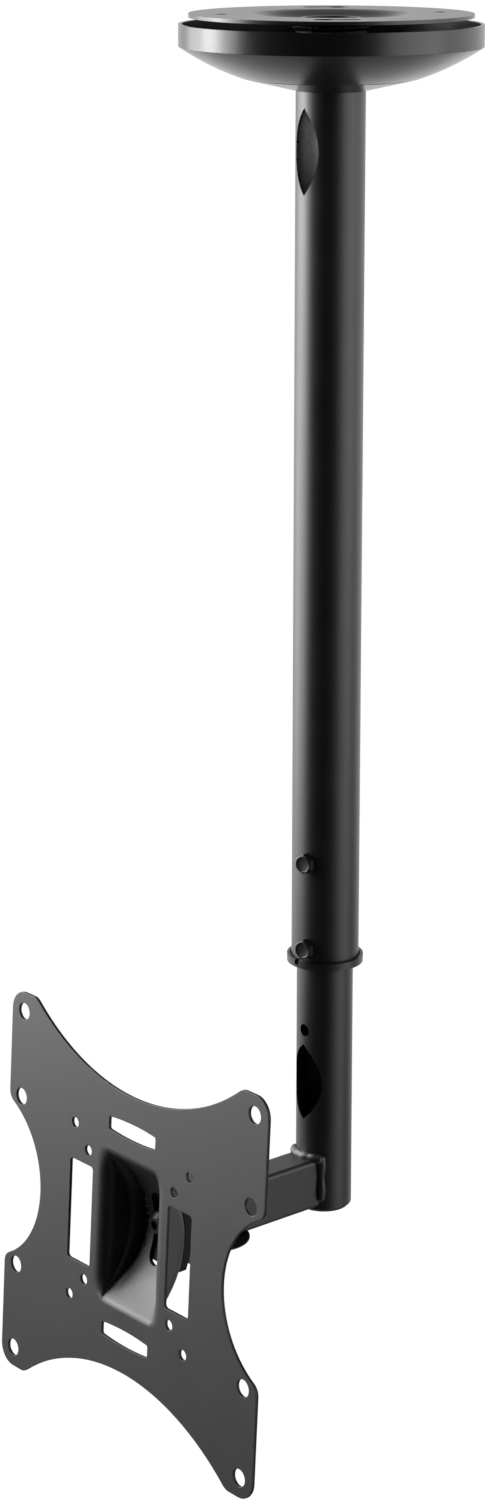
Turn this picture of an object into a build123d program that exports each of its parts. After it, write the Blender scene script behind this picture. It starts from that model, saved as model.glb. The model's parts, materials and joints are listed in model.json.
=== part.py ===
from build123d import *
import math
import os

# The ceiling is the plane z = 0. The pole hangs from it along Z and the arm points towards -Y.
# Azimuths turn about the pole, from the arm's side towards +X.

# Ceiling plate, a pressed disc with a shallow dish
plate_diameter = 154.0
plate_sheet = 2.0
dish_diameter = 90.0
dish_floor_diameter = 54.0
dish_depth = 4.0
collar_bore = 28.5
collar_wall = 2.0
collar_height = 1.7
fixing_circle = 120.0
fixing_hole = 6.5
fixing_azimuth = -30.0
key_entry = 12.5
key_neck = 7.0
key_turn = 15.0

# Cover that slides on the pole and hides the ceiling plate
cover_diameter = 165.0
cover_gap = 5.6
cover_rim_height = 12.0
cover_dome_height = 17.3
cover_hub_diameter = 95.0
cover_hub_height = 6.5
cover_step = 0.5
cover_bulge = 1.3
cover_wall = 2.0
cover_clearance = 0.3

# Upper tube of the pole
upper_tube_diameter = 38.0
upper_tube_wall = 1.5
upper_tube_length = 525.0
upper_slot_drop = 73.7
upper_slot_length = 47.4
upper_slot_width = 18.0
slot_tip_radius = 1.5

# Lock bolts, screwed through the upper tube and slackened for sliding
lock_bolt_size = 6.0
lock_bolt_flats = 10.0
lock_bolt_head = 4.0
lock_bolt_azimuth = 14.0
lock_bolt_rise = 10.0
lock_bolt_pitch = 50.0
lock_bolt_count = 2
lock_tip_gap = 0.3

# Plastic end bush that guides the lower tube
bush_diameter = 43.0
bush_floor = 1.5
bush_rim_height = 2.6
bush_rim_gap = 0.8
bush_sleeve_length = 30.0
bush_notch_width = 3.0
bush_edge = 0.5
guide_clearance = 0.05

# Lower tube of the pole
lower_tube_diameter = 31.8
lower_tube_wall = 1.5
lower_tube_length = 518.5
lower_tube_shown = 146.5
lower_slot_rise = 75.8
lower_slot_length = 44.6
lower_slot_width = 22.0
height_hole = 7.0
height_hole_azimuth = 2.0
height_hole_rise = 106.5
height_hole_count = 8
guide_ring_height = 20.0
plug_flange = 1.5
plug_depth = 12.0
plug_wall = 2.0
plug_clearance = 0.1
plug_edge = 1.2

# Arm, a rectangular tube welded to the lower tube
arm_width = 20.0
arm_height = 29.0
arm_wall = 2.0
arm_corner = 2.5
arm_inner_corner = 0.5
arm_rise = 16.6
arm_overhang = 10.0
arm_bead = 2.1
arm_plug_flange = 1.5
arm_plug_depth = 3.0

# Swivel joint at the end of the arm
swivel_reach = 82.4
swivel_bolt_size = 8.0
swivel_clearance = 0.05
sleeve_wall = 2.5
disc_diameter = 41.0
disc_sheet = 1.0
disc_gap = 0.2
fork_width = 36.0
fork_ear_diameter = 32.0
fork_sheet = 2.0
fork_bend = 1.5
web_reach = 30.0

# Hexagon bolts and nuts
hex_flats = 13.0
hex_head_height = 5.3
nut_height = 8.0
washer_diameter = 16.0
washer_sheet = 1.6
bolt_tail = 1.5
hole_clearance = 0.25
crown_share = 0.94
crown_angle = 30.0

# Tilt joint, a curved pocket clamped on a curved seat
tilt_rise = 2.9
rest_tilt = -3.0
tilt_bolt_size = 8.0
tilt_gap = 0.3
seat_sheet = 5.0
seat_width = 36.0
seat_height = 44.0
button_diameter = 15.0
button_height = 4.2
button_top_diameter = 9.0
button_side_height = 1.2
button_key_flats = 5.0
button_key_depth = 2.4

# Pressed screen plate
screen_plate_size = 222.0
screen_sheet = 2.0
screen_corner = 11.0
top_waist = 158.4
top_arc_radius = 141.5
top_tip_radius = 8.0
side_waist = 159.4
side_arc_radius = 50.7
side_tip_radius = 7.0
wide_pitch = 200.0
wide_short_pitch = 100.0
wide_hole = 9.5
narrow_pitches = (100.0, 75.0)
narrow_hole = 5.8
window_width = 20.0
window_height = 58.0
window_spacing = 86.0
window_corner = 2.0
barrel_length = 40.0
barrel_end_height = 7.0
barrel_mid_height = 9.4
barrel_spacing = 118.4
barrel_corner = 1.5
pocket_depth = 23.5
pocket_radius = 50.0
pocket_width = 42.0
pocket_corner = 2.5
pocket_bend = 2.5
pocket_slot_length = 42.0
pocket_slot_width = 12.0

# Two places closer than this are the same
fine = 1e-4

# Places worked out from the sizes above
dish_floor_z = -dish_depth
upper_top_z = dish_floor_z - plate_sheet
upper_end_z = upper_top_z - upper_tube_length
upper_radius = upper_tube_diameter / 2
upper_bore_radius = upper_radius - upper_tube_wall
lower_end_z = upper_end_z - lower_tube_shown
lower_top_z = lower_end_z + lower_tube_length
lower_radius = lower_tube_diameter / 2
lower_bore_radius = lower_radius - lower_tube_wall
arm_z = lower_end_z + arm_rise
arm_top_z = arm_z + arm_height / 2
arm_bottom_z = arm_z - arm_height / 2
arm_end_y = -swivel_reach - arm_overhang
tab_top_z = arm_top_z + disc_gap + disc_sheet
tab_bottom_z = arm_bottom_z - disc_gap - disc_sheet
fork_top_z = tab_top_z + fork_sheet
fork_bottom_z = tab_bottom_z - fork_sheet
swivel_bore_radius = swivel_bolt_size / 2 + swivel_clearance
seat_radius = pocket_radius + screen_sheet + tilt_gap
web_front_radius = seat_radius + seat_sheet
web_back_radius = web_front_radius + fork_sheet
button_seat = math.sqrt((pocket_radius - tilt_gap) ** 2 - (button_diameter / 2) ** 2)
tilt_y = -swivel_reach - web_reach - web_front_radius
tilt_z = arm_z + tilt_rise
front_y = tilt_y + pocket_radius - pocket_depth
tilt_place = Pos(0, tilt_y, tilt_z)
swivel_place = Pos(0, -swivel_reach, 0)


def vertices_at(face, points):
    return [v for v in face.vertices() if any((v.center() - Vector(*p)).length < fine for p in points)]


def azimuth_plane(radius, azimuth, z):
    angle = math.radians(azimuth)
    outward = Vector(math.sin(angle), -math.cos(angle), 0)
    return Plane(origin=outward * radius + Vector(0, 0, z), x_dir=(0, 0, 1), z_dir=outward)


def azimuth_drill(diameter, length, azimuth, z):
    return azimuth_plane(0, azimuth, z) * extrude(Circle(diameter / 2), length)


def tube(radius, wall, bottom_z, height):
    return Pos(0, 0, bottom_z) * extrude(Circle(radius) - Circle(radius - wall), height)


def revolved(profile):
    return revolve(Plane.XZ * profile, Axis.Z)


def pointed_oval(length, width):
    top = (0, length / 2)
    bottom = (0, -length / 2)
    right = ThreePointArc(top, (width / 2, 0), bottom)
    left = ThreePointArc(bottom, (-width / 2, 0), top)
    return fillet(make_face([right, left]).vertices(), slot_tip_radius)


def cable_slot(length, width, tube_radius, z):
    return Pos(0, 0, z) * extrude(Plane.XZ * pointed_oval(length, width), 2 * tube_radius)


def hex_block(flats, height):
    # A hexagon with the turned crown of a bolt head or nut on its outer face
    corner_radius = flats / math.sqrt(3)
    crown_cut = corner_radius - crown_share * flats / 2
    blank = Pos(0, 0, height / 2) * Cylinder(corner_radius, height)
    crown_edge = blank.edges().group_by(Axis.Z)[-1]
    blank = chamfer(crown_edge, crown_cut * math.tan(math.radians(crown_angle)), crown_cut)
    return blank & extrude(RegularPolygon(flats / 2, 6, major_radius=False), height)


def hex_bolt(size, flats, head_height, length):
    # The head stands on z = 0 and the shank runs down from it
    return hex_block(flats, head_height) + extrude(Circle(size / 2), -length)


def washer(bolt_size):
    return extrude(Circle(washer_diameter / 2) - Circle(bolt_size / 2 + hole_clearance), washer_sheet)


def nut(bolt_size):
    return hex_block(hex_flats, nut_height) - extrude(Circle(bolt_size / 2), nut_height)


def fixing_circle_cut(diameter, azimuth):
    return Rot(Z=azimuth - 90) * Pos(fixing_circle / 2, 0) * Circle(diameter / 2)


def keyhole(azimuth):
    # A round entry and a curved neck: the plate hangs on two screws and turns to lock
    entry_azimuth = azimuth - key_turn
    neck = SlotArc(CenterArc((0, 0), fixing_circle / 2, entry_azimuth - 90, key_turn), key_neck)
    return neck + fixing_circle_cut(key_entry, entry_azimuth)


def make_ceiling_plate():
    rim = plate_diameter / 2
    collar_radius = collar_bore / 2 + collar_wall
    collar_z = dish_floor_z + collar_height
    slope = math.atan2(dish_depth, (dish_diameter - dish_floor_diameter) / 2)
    shift = plate_sheet * math.tan(slope / 2)
    bends = [(dish_diameter / 2, 0), (dish_floor_diameter / 2, dish_floor_z)]
    under = [(x + shift, y - plate_sheet) for x, y in reversed(bends)]
    collar = [(collar_radius, dish_floor_z), (collar_radius, collar_z), (collar_bore / 2, collar_z)]
    corners = [(rim, 0), *bends, *collar, (collar_bore / 2, upper_top_z), *under, (rim, -plate_sheet)]
    plate = revolved(make_face(Polyline(*corners, close=True)))
    for half_turn in (0, 180):
        azimuth = fixing_azimuth + half_turn
        plate -= extrude(fixing_circle_cut(fixing_hole, azimuth), -plate_sheet)
        plate -= extrude(keyhole(azimuth + 90), -plate_sheet)
    return plate


def make_ceiling_cover():
    # The outer line of the wall runs from the open rim, over the bulged dome and a fine step, to the tube
    rim = cover_diameter / 2
    hub = cover_hub_diameter / 2
    hole = upper_radius + cover_clearance
    rim_z = -cover_gap - cover_rim_height
    hub_z = rim_z - cover_dome_height
    chord = Vector(hub - rim, hub_z - rim_z)
    bulge = Vector(-chord.Y, chord.X).normalized() * cover_bulge
    middle = Vector((rim + hub) / 2, (rim_z + hub_z) / 2) + bulge
    dome = [(rim, -cover_gap), (rim, rim_z), (middle.X, middle.Y), (hub, hub_z)]
    line = Polyline(*dome, (hub - cover_step, hub_z + cover_step), (hole, hub_z - cover_hub_height))
    wall = offset(Wire(line.edges()), cover_wall, kind=Kind.INTERSECTION, side=Side.RIGHT)
    cover = revolved(make_face(wall.edges()))
    return cover - Pos(0, 0, hub_z) * Cylinder(hole, 2 * cover_dome_height)


def lock_bolt_heights():
    lowest = upper_end_z + lock_bolt_rise
    return [lowest + lock_bolt_pitch * step for step in range(lock_bolt_count)]


def make_lock_bolt(z):
    length = upper_radius - lower_radius - lock_tip_gap
    bolt = hex_bolt(lock_bolt_size, lock_bolt_flats, lock_bolt_head, length)
    return azimuth_plane(upper_radius, lock_bolt_azimuth, z) * bolt


def make_upper_tube():
    pole = tube(upper_radius, upper_tube_wall, upper_end_z, upper_tube_length)
    pole -= cable_slot(upper_slot_length, upper_slot_width, upper_radius, -upper_slot_drop)
    for z in lock_bolt_heights():
        pole -= azimuth_drill(lock_bolt_size + 2 * hole_clearance, 2 * upper_radius, lock_bolt_azimuth, z)
    return pole


def make_end_bush():
    inner = lower_radius + guide_clearance
    sleeve = upper_bore_radius - guide_clearance
    rim = bush_diameter / 2
    rim_bore = upper_radius + bush_rim_gap
    floor_z = upper_end_z - bush_floor
    rim_z = upper_end_z + bush_rim_height
    sleeve_z = upper_end_z + bush_sleeve_length
    outside = [(rim - bush_edge, floor_z), (rim, floor_z + bush_edge), (rim, rim_z)]
    inside = [(rim_bore, rim_z), (rim_bore, upper_end_z), (sleeve, upper_end_z), (sleeve, sleeve_z)]
    bush = revolved(make_face(Polyline((inner, floor_z), *outside, *inside, (inner, sleeve_z), close=True)))
    notch = Box(bush_notch_width, bush_diameter, bush_rim_height, align=(Align.CENTER, Align.MAX, Align.MIN))
    bush -= Pos(0, -upper_radius, upper_end_z) * notch
    for z in lock_bolt_heights():
        bush -= azimuth_drill(lock_bolt_size + 2 * hole_clearance, 2 * upper_radius, lock_bolt_azimuth, z)
    return bush


def make_lower_tube():
    pole = tube(lower_radius, lower_tube_wall, lower_end_z, lower_tube_length)
    pole -= cable_slot(lower_slot_length, lower_slot_width, lower_radius, lower_end_z + lower_slot_rise)
    for step in range(height_hole_count):
        z = lower_end_z + height_hole_rise + lock_bolt_pitch * step
        pole -= azimuth_drill(height_hole, 2 * lower_radius, height_hole_azimuth, z)
    return pole


def make_guide_ring():
    ring_radius = upper_bore_radius - guide_clearance
    ring_wall = ring_radius - lower_radius
    return tube(ring_radius, ring_wall, lower_top_z - guide_ring_height, guide_ring_height)


def make_tube_plug():
    flange = Pos(0, 0, -plug_flange / 2) * Cylinder(lower_radius, plug_flange)
    flange = chamfer(flange.edges().group_by(Axis.Z)[0], plug_edge)
    stub = tube(lower_bore_radius - plug_clearance, plug_wall, 0, plug_depth)
    return Pos(0, 0, lower_end_z) * (flange + stub)


def arm_section(inset):
    corner = max(arm_corner - inset, arm_inner_corner)
    return RectangleRounded(arm_width - 2 * inset, arm_height - 2 * inset, corner)


def arm_bar(section, start_y, length):
    return Pos(0, start_y, arm_z) * extrude(Plane.XZ * section, length)


def make_arm():
    arm = arm_bar(arm_section(0) - arm_section(arm_wall), 0, -arm_end_y)
    arm -= Pos(0, 0, arm_z) * Cylinder(lower_radius, 2 * arm_height)
    return arm - swivel_place * Pos(0, 0, arm_z) * Cylinder(swivel_bore_radius, 2 * arm_height)


def make_arm_weld():
    # Flat-faced beads along the two curved and the two straight sides of the joint
    half = arm_width / 2
    joint_y = -math.sqrt(lower_radius**2 - half**2)
    sweep = 2 * math.degrees(math.asin((half + arm_bead) / lower_radius))
    bead = RegularPolygon(arm_bead, 4)
    weld = Part()
    for z in (arm_top_z, arm_bottom_z):
        curved = revolve(Plane.XZ * Pos(lower_radius, z) * bead, Axis.Z, sweep)
        weld += Rot(Z=-90 - sweep / 2) * curved
    for x in (-half, half):
        weld += Pos(x, joint_y, arm_bottom_z) * extrude(bead, arm_height)
    weld -= Pos(0, 0, arm_z) * Cylinder(lower_radius, 2 * arm_height)
    return weld - arm_bar(arm_section(0), 0, -arm_end_y)


def make_arm_plug():
    flange = arm_bar(arm_section(0), arm_end_y, arm_plug_flange)
    stub_section = arm_section(arm_wall + plug_clearance)
    return flange + arm_bar(stub_section, arm_end_y + arm_plug_depth, arm_plug_depth)


def make_swivel_sleeve():
    height = arm_height - 2 * arm_wall
    return swivel_place * tube(swivel_bore_radius + sleeve_wall, sleeve_wall, arm_bottom_z + arm_wall, height)


def fork_side(radius, top_z, bottom_z, bend):
    # Side view from the curved web back to the ends of the ears, with y to the right and z up
    depth = fork_ear_diameter / 2 - swivel_reach - tilt_y
    block = Pos(tilt_y, bottom_z) * Rectangle(depth, top_z - bottom_z, align=(Align.MIN, Align.MIN))
    side = block - Pos(tilt_y, tilt_z) * Circle(radius)
    return fillet(side.vertices().sort_by(Axis.X)[:2], bend)


def make_fork():
    # A bent strip: tabs that taper to round ears, and a web curved about the tilt axis
    outer = fork_side(web_front_radius, fork_top_z, fork_bottom_z, fork_bend + fork_sheet)
    inner = fork_side(web_back_radius, tab_top_z, tab_bottom_z, fork_bend)
    strip = extrude(Plane.YZ * (outer - inner), fork_width / 2, both=True)
    web = Pos(0, tilt_y) * Rectangle(fork_width, web_back_radius, align=(Align.CENTER, Align.MIN))
    ear = Pos(0, -swivel_reach) * Circle(fork_ear_diameter / 2)
    plan = make_hull((web + ear).edges())
    hole = Pos(0, -swivel_reach) * Circle(swivel_bolt_size / 2 + hole_clearance)
    fork = strip & Pos(0, 0, fork_bottom_z) * extrude(plan - hole, fork_top_z - fork_bottom_z)
    return fork - tilt_drill()


def swivel_disc():
    disc = Circle(disc_diameter / 2) - Circle(swivel_bolt_size / 2 + hole_clearance)
    return swivel_place * extrude(disc, disc_sheet)


def tilt_drill():
    return tilt_place * extrude(Plane.XZ * Circle(tilt_bolt_size / 2 + hole_clearance), -2 * web_front_radius)


def tilt_sector(outer_radius, inner_radius, width, height):
    # A slice of a cylinder about the tilt axis, behind it
    ring = Circle(outer_radius) - Circle(inner_radius)
    ring &= Rectangle(outer_radius, height, align=(Align.MIN, Align.CENTER))
    return tilt_place * extrude(Plane.YZ * ring, width / 2, both=True)


def make_tilt_seat():
    return tilt_sector(web_front_radius, seat_radius, seat_width, seat_height) - tilt_drill()


def make_swivel_bolt():
    head_z = fork_top_z + washer_sheet
    length = head_z - fork_bottom_z + washer_sheet + nut_height + bolt_tail
    return swivel_place * Pos(0, 0, head_z) * hex_bolt(swivel_bolt_size, hex_flats, hex_head_height, length)


def make_swivel_nut():
    return swivel_place * Pos(0, 0, fork_bottom_z - washer_sheet) * Rot(X=180) * nut(swivel_bolt_size)


def tilt_facing(distance):
    # A plane across the tilt bolt, that far behind the tilt axis and facing the screen
    return Plane(origin=(0, tilt_y + distance, tilt_z), x_dir=(1, 0, 0), z_dir=(0, -1, 0))


def make_tilt_bolt():
    # A low round head with a hexagon key socket, which rides on the pocket floor
    head = extrude(Circle(button_diameter / 2), button_height)
    slope = ((button_diameter - button_top_diameter) / 2, button_height - button_side_height)
    head = chamfer(head.edges().group_by(Axis.Z)[-1], slope[1], slope[0])
    socket = RegularPolygon(button_key_flats / 2, 6, major_radius=False)
    head -= Pos(0, 0, button_height) * extrude(socket, -button_key_depth)
    length = web_back_radius + washer_sheet + nut_height + bolt_tail - button_seat
    return tilt_facing(button_seat) * (head + extrude(Circle(tilt_bolt_size / 2), -length))


def make_tilt_nut():
    return tilt_facing(web_back_radius + washer_sheet) * Rot(X=180) * nut(tilt_bolt_size)


def screen_outline():
    plate = RectangleRounded(screen_plate_size, screen_plate_size, screen_corner)
    for side in (1, -1):
        plate -= Pos(0, side * (top_waist / 2 + top_arc_radius)) * Circle(top_arc_radius)
        plate -= Pos(side * (side_waist / 2 + side_arc_radius), 0) * Circle(side_arc_radius)
    half = screen_plate_size / 2
    top_tip = math.sqrt(top_arc_radius**2 - (top_waist / 2 + top_arc_radius - half) ** 2)
    side_tip = math.sqrt(side_arc_radius**2 - (side_waist / 2 + side_arc_radius - half) ** 2)
    signs = [(x, y) for x in (1, -1) for y in (1, -1)]
    plate = fillet(vertices_at(plate, [(x * top_tip, y * half) for x, y in signs]), top_tip_radius)
    return fillet(vertices_at(plate, [(x * half, y * side_tip) for x, y in signs]), side_tip_radius)


def barrel_slot():
    ends = (barrel_length / 2, barrel_end_height / 2)
    upper = ThreePointArc((-ends[0], ends[1]), (0, barrel_mid_height / 2), ends)
    lower = ThreePointArc((ends[0], -ends[1]), (0, -barrel_mid_height / 2), (-ends[0], -ends[1]))
    sides = [Line(upper @ 1, lower @ 0), Line(lower @ 1, upper @ 0)]
    return fillet(make_face([upper, lower, *sides]).vertices(), barrel_corner)


def screen_cuts():
    cuts = Sketch()
    for pitch in (wide_pitch, wide_short_pitch):
        cuts += GridLocations(wide_pitch, pitch, 2, 2) * Circle(wide_hole / 2)
    for pitch in narrow_pitches:
        cuts += GridLocations(pitch, pitch, 2, 2) * Circle(narrow_hole / 2)
    window = RectangleRounded(window_width, window_height, window_corner)
    cuts += GridLocations(window_spacing, 0, 2, 1) * window
    return cuts + GridLocations(0, barrel_spacing, 1, 2) * barrel_slot()


def pocket_die(growth):
    # The drawn pocket's solid: a wide drum about the tilt axis with bevelled rims
    bevel = pocket_corner + growth * (2 - math.sqrt(2))
    drum = Rot(Y=90) * Cylinder(pocket_radius + growth, pocket_width + 2 * growth)
    return tilt_place * chamfer(drum.edges().filter_by(GeomType.CIRCLE), bevel)


def pocket_rim(plate, y):
    # The closed line where the pocket meets one face of the sheet
    middle = Vector(0, y, tilt_z)
    level = plate.edges().filter_by_position(Axis.Y, y - fine, y + fine)
    return [edge for edge in level if (edge.center() - middle).length < pocket_radius]


def make_screen_plate():
    # The sheet is upright about the tilt axis first, then turned to the angle that is set
    face = Pos(0, front_y, tilt_z)
    side = screen_plate_size
    behind = face * Box(side, side, side, align=(Align.CENTER, Align.MIN, Align.CENTER))
    plate = face * extrude(Plane.XZ * screen_outline(), -screen_sheet)
    plate += pocket_die(screen_sheet) & behind
    plate = fillet(pocket_rim(plate, front_y + screen_sheet), pocket_bend)
    plate -= pocket_die(0)
    plate = fillet(pocket_rim(plate, front_y), pocket_bend + screen_sheet)
    plate -= face * extrude(Plane.XZ * screen_cuts(), -screen_sheet)
    floor_slot = SlotOverall(pocket_slot_length, pocket_slot_width, rotation=90)
    plate -= face * extrude(Plane.XZ * floor_slot, -2 * pocket_depth)
    return tilt_place * Rot(X=rest_tilt) * tilt_place.inverse() * plate


nodes = {
    "ceiling_plate": make_ceiling_plate(),
    "ceiling_cover": make_ceiling_cover(),
    "upper_tube": make_upper_tube(),
    "end_bush": make_end_bush(),
    "lower_tube": make_lower_tube(),
    "guide_ring": make_guide_ring(),
    "tube_plug": make_tube_plug(),
    "arm": make_arm(),
    "arm_weld": make_arm_weld(),
    "arm_plug": make_arm_plug(),
    "swivel_sleeve": make_swivel_sleeve(),
    "fork": make_fork(),
    "swivel_disc_top": Pos(0, 0, arm_top_z + disc_gap) * swivel_disc(),
    "swivel_disc_bottom": Pos(0, 0, tab_bottom_z) * swivel_disc(),
    "swivel_bolt": make_swivel_bolt(),
    "swivel_washer_top": swivel_place * Pos(0, 0, fork_top_z) * washer(swivel_bolt_size),
    "swivel_washer_bottom": swivel_place * Pos(0, 0, fork_bottom_z - washer_sheet) * washer(swivel_bolt_size),
    "swivel_nut": make_swivel_nut(),
    "tilt_seat": make_tilt_seat(),
    "tilt_bolt": make_tilt_bolt(),
    "tilt_washer": tilt_facing(web_back_radius + washer_sheet) * washer(tilt_bolt_size),
    "tilt_nut": make_tilt_nut(),
    "screen_plate": make_screen_plate(),
}
for number, z in enumerate(lock_bolt_heights(), 1):
    nodes[f"lock_bolt_{number}"] = make_lock_bolt(z)

os.makedirs("parts", exist_ok=True)
for name, shape in nodes.items():
    export_step(shape, f"parts/{name}.step")
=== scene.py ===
import json
import math
import bpy
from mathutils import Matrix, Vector

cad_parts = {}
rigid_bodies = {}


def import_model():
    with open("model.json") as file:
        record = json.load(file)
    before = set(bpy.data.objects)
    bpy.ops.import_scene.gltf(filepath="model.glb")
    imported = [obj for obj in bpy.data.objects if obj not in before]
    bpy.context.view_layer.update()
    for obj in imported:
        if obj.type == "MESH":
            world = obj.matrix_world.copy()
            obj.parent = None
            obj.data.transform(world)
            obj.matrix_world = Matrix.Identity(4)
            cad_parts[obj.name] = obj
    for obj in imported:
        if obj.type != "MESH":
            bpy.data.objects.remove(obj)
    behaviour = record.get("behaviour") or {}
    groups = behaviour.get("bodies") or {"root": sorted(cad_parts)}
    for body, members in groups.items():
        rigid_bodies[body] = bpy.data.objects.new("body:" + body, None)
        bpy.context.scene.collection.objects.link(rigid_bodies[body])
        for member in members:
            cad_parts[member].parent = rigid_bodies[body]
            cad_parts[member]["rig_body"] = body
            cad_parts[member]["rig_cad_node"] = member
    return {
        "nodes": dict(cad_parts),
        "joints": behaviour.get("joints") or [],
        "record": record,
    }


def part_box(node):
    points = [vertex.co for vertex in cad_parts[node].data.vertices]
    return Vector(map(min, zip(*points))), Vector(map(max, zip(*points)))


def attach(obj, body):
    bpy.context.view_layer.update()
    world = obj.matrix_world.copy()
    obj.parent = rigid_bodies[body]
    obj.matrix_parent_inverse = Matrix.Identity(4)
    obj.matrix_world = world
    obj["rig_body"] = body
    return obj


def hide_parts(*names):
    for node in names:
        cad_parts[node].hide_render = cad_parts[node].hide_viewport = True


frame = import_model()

mm = 0.001  # sizes below are in millimetres, the studio's in metres
quarterTurn = math.pi / 2
creaseAngle = 35  # degrees; a sharper edge stays crisp
mergeReach = 0.002  # doubled points lie closer than this
sliver = 0.02  # scraps of a union are thinner than this
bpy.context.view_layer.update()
nodes = frame["nodes"]
bodyOf = {node: body for body, names in frame["record"]["behaviour"]["bodies"].items() for node in names}
pivotOf = {joint["name"]: Vector(joint["pos_m"]) / mm for joint in frame["joints"]}


def onlySelect(*pieces):
    bpy.ops.object.select_all(action="DESELECT")
    for piece in pieces:
        piece.select_set(True)
    bpy.context.view_layer.objects.active = pieces[0]


def newest(name):
    piece = bpy.context.active_object
    piece.name = name
    return piece


def settle(piece):  # place goes into the mesh
    onlySelect(piece)
    bpy.ops.object.transform_apply(location=True, rotation=True, scale=True)
    return piece


def joined(name, pieces):
    onlySelect(*pieces)
    bpy.ops.object.join()
    return newest(name)


def addModifier(piece, kind, **settings):
    onlySelect(piece)
    change = piece.modifiers.new(kind.title(), kind)
    for key, value in settings.items():
        setattr(change, key, value)
    bpy.ops.object.modifier_apply(modifier=change.name)


def cutAway(piece, *cutters, operation="DIFFERENCE"):
    for cutter in cutters:
        addModifier(piece, "BOOLEAN", operation=operation, solver="EXACT", object=cutter)
        bpy.data.objects.remove(cutter)
    return piece


def smoothSkin(piece, angle=creaseAngle):
    onlySelect(piece)
    bpy.ops.object.shade_smooth_by_angle(angle=math.radians(angle))
    addModifier(piece, "WEIGHTED_NORMAL", keep_sharp=True)
    return piece


def roundEdges(piece, width, segments=2, angle=creaseAngle, clamp=True):
    addModifier(piece, "BEVEL", width=width * mm, segments=segments, limit_method="ANGLE",
                angle_limit=math.radians(angle), use_clamp_overlap=clamp)
    return smoothSkin(piece, angle)


def bevelWhere(piece, test, width, segments):
    # test looks at both ends of an edge, in millimetres
    onlySelect(piece)
    bpy.ops.object.mode_set(mode="EDIT")
    bpy.ops.mesh.select_mode(type="EDGE")
    bpy.ops.mesh.select_all(action="DESELECT")
    bpy.ops.object.mode_set(mode="OBJECT")
    for edge in piece.data.edges:
        edge.select = all(test(piece.data.vertices[spot].co / mm) for spot in edge.vertices)
    bpy.ops.object.mode_set(mode="EDIT")
    bpy.ops.mesh.bevel(offset=width * mm, segments=segments, affect="EDGES")
    bpy.ops.object.mode_set(mode="OBJECT")
    return piece


def mergePoints(piece, reach):  # stays in edit mode, with all selected
    onlySelect(piece)
    bpy.ops.object.mode_set(mode="EDIT")
    bpy.ops.mesh.select_all(action="SELECT")
    bpy.ops.mesh.remove_doubles(threshold=reach * mm)


def cylinder(name, radius, depth, centre, vertices, turn=(0, 0, 0)):
    bpy.ops.mesh.primitive_cylinder_add(radius=radius * mm, depth=depth * mm, vertices=vertices,
                                        location=Vector(centre) * mm, rotation=turn)
    return settle(newest(name))


def drum(name, radius, depth, centre, vertices):  # lies along Y
    return cylinder(name, radius, depth, centre, vertices, (quarterTurn, 0, 0))


def block(name, size, centre):
    bpy.ops.mesh.primitive_cube_add(size=1, location=Vector(centre) * mm)
    piece = newest(name)
    piece.scale = Vector(size) * mm
    return settle(piece)


def drawn(name, points, y=0, closed=True):
    # a line in a plane of x and z, drawn by extruding one point; stays in edit mode
    bpy.ops.mesh.primitive_plane_add(size=mm, location=(0, 0, 0))
    piece = newest(name)
    bpy.ops.object.mode_set(mode="EDIT")
    bpy.ops.mesh.select_mode(type="VERT")
    bpy.ops.mesh.select_all(action="SELECT")
    bpy.ops.mesh.merge(type="CENTER")
    path = [Vector((x, y, z)) * mm for x, z in points]
    bpy.ops.transform.translate(value=path[0])
    for here, there in zip(path, path[1:]):
        bpy.ops.mesh.extrude_region_move(TRANSFORM_OT_translate={"value": there - here})
    if closed:
        bpy.ops.mesh.select_all(action="DESELECT")
        bpy.ops.object.mode_set(mode="OBJECT")
        for spot in (0, -1):
            piece.data.vertices[spot].select = True
        bpy.ops.object.mode_set(mode="EDIT")
        bpy.ops.mesh.edge_face_add()
    bpy.ops.mesh.select_all(action="SELECT")
    return piece


def spun(name, points, steps, angle=360, closed=True):
    # the profile goes round the pole
    piece = drawn(name, points, closed=closed)
    bpy.ops.mesh.spin(steps=steps, angle=math.radians(angle), center=(0, 0, 0), axis=(0, 0, 1))
    bpy.ops.mesh.select_all(action="SELECT")
    bpy.ops.mesh.remove_doubles(threshold=mergeReach * mm)
    bpy.ops.mesh.normals_make_consistent(inside=False)
    bpy.ops.object.mode_set(mode="OBJECT")
    return piece


def arc(centre, radius, start, end, steps):  # angles in degrees, both ends included
    angles = [math.radians(start + (end - start) * step / steps) for step in range(steps + 1)]
    return [(centre[0] + radius * math.cos(a), centre[1] + radius * math.sin(a)) for a in angles]


def around(radius, azimuth, z):  # azimuths turn from the arm's side towards +X
    turn = math.radians(azimuth)
    return Vector((radius * math.sin(turn), -radius * math.cos(turn), z))


def finish(piece, body, material):
    piece.data.materials.clear()
    piece.data.materials.append(material)
    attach(piece, body)


def seat(piece, node, material):
    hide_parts(node)
    finish(piece, bodyOf[node], material)


def secondFinish(piece, material, test):
    # faces that pass the test, by their middle in millimetres and their normal, take a finish of their own
    piece.data.materials.append(material)
    for face in piece.data.polygons:
        if test(face.center / mm, face.normal):
            face.material_index = 1


# shader nodes

def newNode(tree, kind, **settings):
    node = tree.nodes.new(kind)
    for key, value in settings.items():
        setattr(node, key, value)
    return node


def feed(tree, socket, source):  # source is a value or another node's output
    if isinstance(source, bpy.types.NodeSocket):
        tree.links.new(source, socket)
    else:
        socket.default_value = source


def reckon(tree, operation, *sources):
    node = newNode(tree, "ShaderNodeMath", operation=operation)
    for socket, source in zip(node.inputs, sources):
        feed(tree, socket, source)
    return node.outputs[0]


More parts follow.
